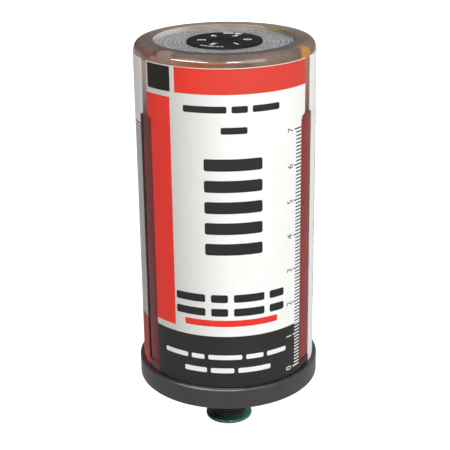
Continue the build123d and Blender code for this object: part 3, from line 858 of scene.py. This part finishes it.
HEADING_ROWS = (
    (-26, 34, 76.6, 78.4, (1.5, 0.55, 1.0), 1.3, 0.4),
    (-3, 13, 71.0, 72.8, (1,), 0, 0.4),
)
BLOCK_ROWS = (
    (-34, 38, 19.4, 21.7, (1.3, 0.7, 1.3, 0.7), 1.6, 0.5),
    (-34, 38, 23.5, 25.8, (1.3, 0.7, 1.3, 0.7), 1.6, 0.5),
)
LINE_ROWS = (
    (-44, 40, 6.2, 7.6, (1.2, 0.6, 1.5, 0.8, 1.0), 1.1, 0.4),
    (-29, 28, 2.1, 3.6, (0.9, 0.9, 1.3), 1.1, 0.4),
)
BAR_ENDS = (-13.6, 22.4)
BAR_FEET = (37.4, 43.3, 49.2, 55.1, 61.0)
BAR_HEIGHT = 3.3
UNDERLINE = (-28, 33, 16.3, 18.2)

# Upright lines of dashes on the right-hand panel, in degrees and in heights on the scale
DASH_LINES = 9
DASH_START, DASH_STEP = 79.0, 4.2
DASH_LOW, DASH_HIGH = 16.0, 70.0
DASH_WIDTH = 0.75


def block_row(phi0, phi1, low, high, widths, gap, corner):
    """A row of rounded blocks that fills a stretch; widths are shares of the blocks' length."""
    u0, u1 = arc_mm(phi0), arc_mm(phi1)
    unit = (u1 - u0 - gap * (len(widths) - 1)) / sum(widths)
    outlines = []
    u = u0
    for width in widths:
        outlines.append(rounded_box(u, u + width * unit, row(low), row(high), corner))
        u += width * unit + gap
    return outlines


def print_rows(name, rows, look):
    outlines = [outline for line in rows for outline in block_row(*line)]
    label_ink(name, [flat_solid(outlines)], look)


def front_print():
    print_rows("print_heading", HEADING_ROWS, "ink_dark")
    left, right = arc_mm(BAR_ENDS[0]), arc_mm(BAR_ENDS[1])
    bars = [rounded_box(left, right, row(z), row(z) + BAR_HEIGHT, 0.6) for z in BAR_FEET]
    label_ink("print_bars", [flat_solid(bars)], "ink_dark")
    print_rows("print_blocks", BLOCK_ROWS, "ink_dark")
    phi0, phi1, low, high = UNDERLINE
    underline = rounded_box(arc_mm(phi0), arc_mm(phi1), row(low), row(high), 0.4)
    label_ink("print_underline", [flat_solid([underline])], "ink_red")
    print_rows("print_lines", LINE_ROWS, "ink_white")


def side_print():
    """Faint upright lines of small print on the right-hand panel, as plain dashes."""
    rng = random.Random(7)
    outlines = []
    for i in range(DASH_LINES):
        u = arc_mm(DASH_START + DASH_STEP * i)
        z = row(DASH_LOW)
        while z < row(DASH_HIGH):
            length = rng.uniform(1.5, 6.0)
            outlines.append(rounded_box(u, u + DASH_WIDTH, z, z + length, 0.2))
            z += length + rng.uniform(0.6, 1.1)
    label_ink("print_side_right", [flat_solid(outlines)], "ink_grey")


# Canister, grease and bellows

def canister_shell():
    """The clear shell: smooth walls, a rounded rim and a soft inside corner."""
    ceiling = HOUSING_TOP + 0.03
    profile = [(BORE_R, CANISTER_FOOT), (CANISTER_R, CANISTER_FOOT)]
    profile += [(CANISTER_R, HAZE_FOOT), (CANISTER_R, RIM_FOOT)]
    profile += arc(CANISTER_R - TOP_ROUND, CANISTER_TOP - TOP_ROUND, TOP_ROUND, 0, 90, 12)
    profile += arc(OPENING_R + OPENING_ROUND, CANISTER_TOP - OPENING_ROUND, OPENING_ROUND, 90, 180, 6)
    profile += [(OPENING_R, ceiling)]
    profile += arc(BORE_R - INNER_ROUND, ceiling - INNER_ROUND, INNER_ROUND, 90, 0, 5)
    looks = ["clear_plastic", "rim_plastic", "haze_plastic"]
    shell = revolve("canister_shell", profile, looks, segments=256, smooth_angle=50)
    for face in shell.data.polygons:
        height = face.center.z / MM
        if height > RIM_FOOT:
            face.material_index = looks.index("rim_plastic")
        elif height > HAZE_FOOT:
            face.material_index = looks.index("haze_plastic")
    finish_piece(shell, "shell", "canister", slot="clear_plastic")


# How far the grease reaches into the canister's wall, so that no gap shows between them
GREASE_BITE = 0.02


def grease():
    """The grease, wet against the canister's wall."""
    foot, top = grease_low.z / MM, grease_high.z / MM
    wall = BORE_R + GREASE_BITE
    fall = 1.4
    bore = 2.6
    profile = [(0.0, foot), (bore, foot), (wall, foot + fall)]
    profile += [(wall, top), (bore, top - fall), (0.0, top - fall)]
    body = revolve("grease_body", profile, ["red_grease"], segments=256)
    finish_piece(body, "shell", "grease_charge", slot="red_grease")
    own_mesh(body)


def grease_smear():
    """The film of grease between the piston's rim and the wall; it goes with the piston."""
    foot, top = grease_high.z / MM, piston_high.z / MM
    wall = BORE_R + GREASE_BITE
    inner = piston_high.x / MM + 0.01
    profile = [(inner, foot), (wall, foot), (wall, top), (inner, top)]
    film = revolve("grease_smear", profile, ["red_grease"], segments=256)
    finish_piece(film, "piston", slot="red_grease")


def bellows():
    """The gas bag: soft round folds between the piston and the drive unit."""
    foot, head = bellows_low.z / MM, bellows_high.z / MM
    flange_r = bellows_high.x / MM
    flange = 0.4
    skin = 0.35
    outer, depth, folds, steps = flange_r - 2.1, 6.0, 6, 16
    start = foot + 0.5
    height = head - flange - start
    wall = []
    for i in range(folds * steps + 1):
        share = i / (folds * steps)
        r = outer - depth / 2 - depth / 2 * math.cos(2 * math.pi * folds * share)
        wall.append((r, start + height * share))
    profile = [(0.0, foot), (outer - depth - 0.5, foot)] + wall
    profile += [(flange_r, head - flange), (flange_r, head), (outer - depth - skin, head)]
    profile += [(r - skin, z) for r, z in reversed(wall)] + [(0.0, start)]
    bag = revolve("bellows_bag", profile, ["bellows_film"], segments=160)
    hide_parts("gas_bellows")
    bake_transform(bag)


# Dial and plate print: rings as (radius, height), dashes as (inner radius, outer radius, spans)

DIAL_STEPS = 6
DIAL_FIGURE_R = 6.1
DIAL_FIGURE_HEIGHT = 2.3
DIAL_DASHES = (
    (8.9, 9.5, ((226, 232), (234, 240), (242, 252), (254, 262), (264, 268))),
    (8.3, 9.6, ((58, 71), (74, 92))),
)
PLATE_RINGS = ((11.5, 0.5), (12.7, 0.5), (13.9, 0.5), (15.1, 0.5), (16.5, 0.7), (17.7, 0.4))
PLATE_TURN = 352


def flat_print(name, bms, look, height, slot_name):
    """Printed shapes lying on a level face at the given height in millimetres."""
    bm = join(bms)
    for v in bm.verts:
        v.co = Vector((v.co.x * MM, v.co.y * MM, (height + INK_LIFT + v.co.z) * MM))
    finish_piece(link_mesh(name, bm, [look]), "shell", slot=slot_name)


def ring_dash(r0, r1, start, end, steps=6):
    """The outline of a dash that follows a circle about the axis."""
    return arc(0, 0, r1, start, end, steps) + arc(0, 0, r0, end, start, steps)


def dial_print():
    """The figures 0 to 5 and a few plain dashes."""
    figures = []
    for i in range(DIAL_STEPS):
        turn = -360 // DIAL_STEPS * i
        angle = math.radians(turn)
        place = (DIAL_FIGURE_R * math.cos(angle), DIAL_FIGURE_R * math.sin(angle))
        figures.append(text_solid(str(i), DIAL_FIGURE_HEIGHT, turn - 90, place, bold=0.10))
    flat_print("dial_figures", figures, "ink_white", BEZEL_TOP, "black_plastic")
    dashes = [ring_dash(r0, r1, *span) for r0, r1, spans in DIAL_DASHES for span in spans]
    flat_print("dial_marks", [flat_solid(dashes)], "ink_white", BEZEL_TOP, "black_plastic")


def plate_print():
    """Rings of small dashes on the silver plate."""
    rng = random.Random(11)
    outlines = []
    for r, height in PLATE_RINGS:
        start = rng.uniform(0, 20)
        angle = start
        while angle < start + PLATE_TURN:
            sweep = rng.uniform(1.5, 7.0)
            outlines.append(ring_dash(r, r + height, angle, angle + sweep, 3))
            angle += sweep + rng.uniform(1.0, 2.6)
    flat_print("plate_print", [flat_solid(outlines)], "ink_plate", PLATE_TOP, "silver_plate")


# Base cap: flange, lip, ribbed recess, hexagon and threaded nipple

THREAD_R = 5.14
THREAD_PITCH = 0.94
THREAD_DEPTH = 0.72
THREAD_ROWS = 12
THREAD_RELIEF = 1.2
NIPPLE_LENGTH = 11.5
NIPPLE_LEAD = 0.6
OUTLET_R = 2.6
HEX_APOTHEM = 8.5
HEX_HEIGHT = 3.45
HEX_CHAMFER = 0.35
RIBS = 12
RIB_WIDTH = 1.2


def hexagon(apothem):
    """The radius of a hexagon at an angle, with a corner at angle zero."""
    def radius(theta):
        return apothem / math.cos((theta % math.radians(60)) - math.radians(30))
    return radius


def thread(z):
    """The radius of the nipple's thread at a height and an angle."""
    def radius(theta):
        phase = (z / THREAD_PITCH - theta / (2 * math.pi)) % 1.0
        crest = 1 - abs(2 * phase - 1)
        depth = THREAD_DEPTH * (1 - max(0.0, min(1.0, 1.25 * crest - 0.1)))
        fade = min(1.0, max(0.0, (z + NIPPLE_LENGTH) / NIPPLE_LEAD))
        return THREAD_R - depth - (1 - fade) * (NIPPLE_LEAD - depth if depth < NIPPLE_LEAD else 0)
    return radius


def add_ribs(bm, recess_in, recess_out, recess_top):
    """Ribs across the ring-shaped recess, a little into the walls and the ceiling."""
    low, high = HEX_HEIGHT + 0.6, recess_top + 0.1
    for i in range(RIBS):
        rib = bmesh.ops.create_cube(bm, size=1.0)["verts"]
        size = ((recess_out - recess_in + 0.6) * MM, RIB_WIDTH * MM, (high - low) * MM)
        middle = ((recess_in + recess_out) / 2 * MM, 0, (low + high) / 2 * MM)
        turn = Matrix.Rotation(2 * math.pi * i / RIBS, 3, "Z")
        bmesh.ops.scale(bm, vec=size, verts=rib)
        bmesh.ops.translate(bm, vec=middle, verts=rib)
        bmesh.ops.rotate(bm, cent=(0, 0, 0), matrix=turn, verts=rib)


def base_cap():
    """The cap in one moulding; its lip has a pale painted highlight at the front."""
    cap_r = cap_high.x / MM
    floor_rim = cap_high.z / MM
    floor_dish, bore_chamfer, shoulder = 1.4, 0.4, 0.15
    lip_top, lip_round, foot_chamfer = LABEL_BOTTOM - 0.2, 0.4, 0.25
    seat = CANISTER_FOOT
    spigot_r, socket_r = BORE_R - FIT, CANISTER_R + FIT
    groove_r, groove_z, groove_half = spigot_r - 1.0, (seat + floor_rim) / 2, 0.7
    recess_in, recess_out, recess_top = 11.015, spigot_r - 2.75, HEX_HEIGHT + 3.2
    profile = [(OUTLET_R, floor_rim - floor_dish), (spigot_r, floor_rim), (spigot_r, groove_z + groove_half)]
    profile += [(groove_r, groove_z + groove_half), (groove_r, groove_z - groove_half)]
    profile += [(spigot_r, groove_z - groove_half), (spigot_r, seat), (socket_r, seat)]
    profile += [(socket_r, lip_top - shoulder), (socket_r + shoulder, lip_top)]
    profile += arc(cap_r - lip_round, lip_top - lip_round, lip_round, 90, 0, 8)
    profile += [(cap_r, HEX_HEIGHT + foot_chamfer), (cap_r - foot_chamfer, HEX_HEIGHT)]
    profile += [(recess_out, HEX_HEIGHT), (recess_out, recess_top)]
    profile += [(recess_in, recess_top), (recess_in, HEX_HEIGHT)]
    profile += [(hexagon(HEX_APOTHEM), HEX_HEIGHT), (hexagon(HEX_APOTHEM), HEX_CHAMFER)]
    profile += [(hexagon(HEX_APOTHEM - HEX_CHAMFER), 0.0), (THREAD_R - THREAD_DEPTH, 0.0)]
    steps = int((NIPPLE_LENGTH - THREAD_RELIEF) / THREAD_PITCH * THREAD_ROWS)
    for i in range(steps + 1):
        z = -THREAD_RELIEF - (NIPPLE_LENGTH - THREAD_RELIEF) * i / steps
        profile.append((thread(z), z))
    profile += [(OUTLET_R + bore_chamfer, -NIPPLE_LENGTH), (OUTLET_R, bore_chamfer - NIPPLE_LENGTH)]
    bm = spin(profile)
    add_ribs(bm, recess_in, recess_out, recess_top)
    looks = ["black_plastic", "scuffed_edge"]
    cap = link_mesh("base_cap_moulding", bm, looks, 30)
    # The lip's faces take the plastic with the painted highlight.
    for face in cap.data.polygons:
        if face.center.z / MM > lip_top - lip_round and face.center.xy.length / MM > LABEL_R + 0.2:
            face.material_index = looks.index("scuffed_edge")
    finish_piece(cap, "shell", "base_cap", slot="black_plastic")


# Stage, light and camera

FLOOR_GAP = 0.0004
FLOOR_REACH = 6.0

# The camera that fits the photograph, in metres and, for the lens, in millimetres
CAMERA_PLACE = (0.0, -0.31249, 0.16682)
CAMERA_FORWARD = (-0.00156, 0.935440, -0.353480)
CAMERA_UP = (0.012191, 0.353708, 0.935276)
LENS = 92.91
SENSOR = 36.0


def floor_material():
    """A white studio floor: bright to the lens, with only a soft bounce on the object, and clear from
    below, so that the underside can be seen."""
    mat, nodes, links, bsdf = new_material("floor")
    path = nodes.new("ShaderNodeLightPath")
    glow = ramp_value(nodes, links, path.outputs["Is Camera Ray"], 0.10, 0.95, 0.0, 1.0)
    links.new(glow, bsdf.inputs["Emission Strength"])
    bsdf.inputs["Emission Color"].default_value = (1, 1, 1, 1)
    bsdf.inputs["Base Color"].default_value = (0.45, 0.45, 0.45, 1)
    bsdf.inputs["Roughness"].default_value = 0.9
    bsdf.inputs["Specular IOR Level"].default_value = 0.1
    side = nodes.new("ShaderNodeNewGeometry")
    mix = nodes.new("ShaderNodeMixShader")
    links.new(side.outputs["Backfacing"], mix.inputs[0])
    links.new(bsdf.outputs["BSDF"], mix.inputs[1])
    links.new(nodes.new("ShaderNodeBsdfTransparent").outputs["BSDF"], mix.inputs[2])
    links.new(mix.outputs["Shader"], nodes["Material Output"].inputs["Surface"])
    return mat


def stage():
    bm = bmesh.new()
    bmesh.ops.create_grid(bm, x_segments=1, y_segments=1, size=FLOOR_REACH)
    bmesh.ops.translate(bm, verts=bm.verts, vec=(0, 0, plug_low.z - FLOOR_GAP))
    mesh = bpy.data.meshes.new("floor")
    bm.to_mesh(mesh)
    bm.free()
    floor = bpy.data.objects.new("floor", mesh)
    bpy.context.scene.collection.objects.link(floor)
    mesh.materials.append(floor_material())


def world_light():
    """A soft surround: brighter to the right, darker straight behind, and white to the lens."""
    world = bpy.data.worlds.new("studio")
    world.use_nodes = True
    nodes, links = world.node_tree.nodes, world.node_tree.links
    coord = nodes.new("ShaderNodeTexCoord")
    split = axes(nodes, links, coord.outputs["Generated"])
    total = nodes.new("ShaderNodeMath")
    links.new(ramp_value(nodes, links, split["X"], 0.10, 0.54, -0.8, 0.8), total.inputs[0])
    links.new(ramp_value(nodes, links, split["Y"], 0.0, -0.14, 0.80, 0.96), total.inputs[1])
    path = nodes.new("ShaderNodeLightPath")
    shown = nodes.new("ShaderNodeMix")
    shown.inputs["B"].default_value = 1.0
    links.new(path.outputs["Is Camera Ray"], shown.inputs["Factor"])
    links.new(total.outputs["Value"], shown.inputs["A"])
    links.new(shown.outputs["Result"], nodes["Background"].inputs["Strength"])
    nodes["Background"].inputs["Color"].default_value = (1, 1, 1, 1)
    bpy.context.scene.world = world


def area_light(name, place, target, size, power, size_y=None, diffuse=True, gloss=True):
    """A softbox turned to its target, unseen by the camera; diffuse and gloss say what it lights."""
    data = bpy.data.lights.new(name, "AREA")
    data.energy = power
    data.size = size
    if size_y:
        data.shape = "RECTANGLE"
        data.size_y = size_y
    light = bpy.data.objects.new(name, data)
    bpy.context.scene.collection.objects.link(light)
    direction = Vector(target) - Vector(place)
    light.visible_camera = False
    light.visible_diffuse = diffuse
    light.visible_transmission = diffuse
    light.visible_glossy = gloss
    light.matrix_world = Matrix.Translation(place) @ direction.to_track_quat("-Z", "Y").to_matrix().to_4x4()


def lights():
    middle = (0, 0, 0.055)
    top = (0, 0, 0.10)
    area_light("key", (0.34, -0.50, 0.46), middle, 0.45, 3.5)
    area_light("fill", (-0.18, -0.62, 0.38), middle, 0.35, 1.0)
    area_light("high_left", (-0.42, -0.30, 0.60), middle, 0.30, 1.2)
    area_light("gloss_left", (-0.40, -0.36, 0.41), top, 0.50, 6.0, 0.09, diffuse=False)
    area_light("gloss_front", (0.09, -0.52, 0.40), top, 0.14, 3.0, 0.10, diffuse=False)
    area_light("back_fill", (0.10, 0.75, 0.30), middle, 0.40, 2.6, gloss=False)


def camera():
    data = bpy.data.cameras.new("camera")
    data.sensor_width = SENSOR
    data.lens = LENS
    data.clip_start = 0.01
    forward = Vector(CAMERA_FORWARD).normalized()
    right = forward.cross(Vector(CAMERA_UP)).normalized()
    up = right.cross(forward)
    obj = bpy.data.objects.new("camera", data)
    rows = [(right[i], up[i], -forward[i], CAMERA_PLACE[i]) for i in range(3)]
    obj.matrix_world = Matrix((*rows, (0, 0, 0, 1)))
    bpy.context.scene.collection.objects.link(obj)
    bpy.context.scene.camera = obj


dress_nodes()
label_panels()
printed_scales()
front_print()
side_print()
canister_shell()
grease()
grease_smear()
bellows()
dial_print()
plate_print()
base_cap()
stage()
world_light()
lights()
camera()
bpy.context.scene.view_settings.view_transform = "Standard"
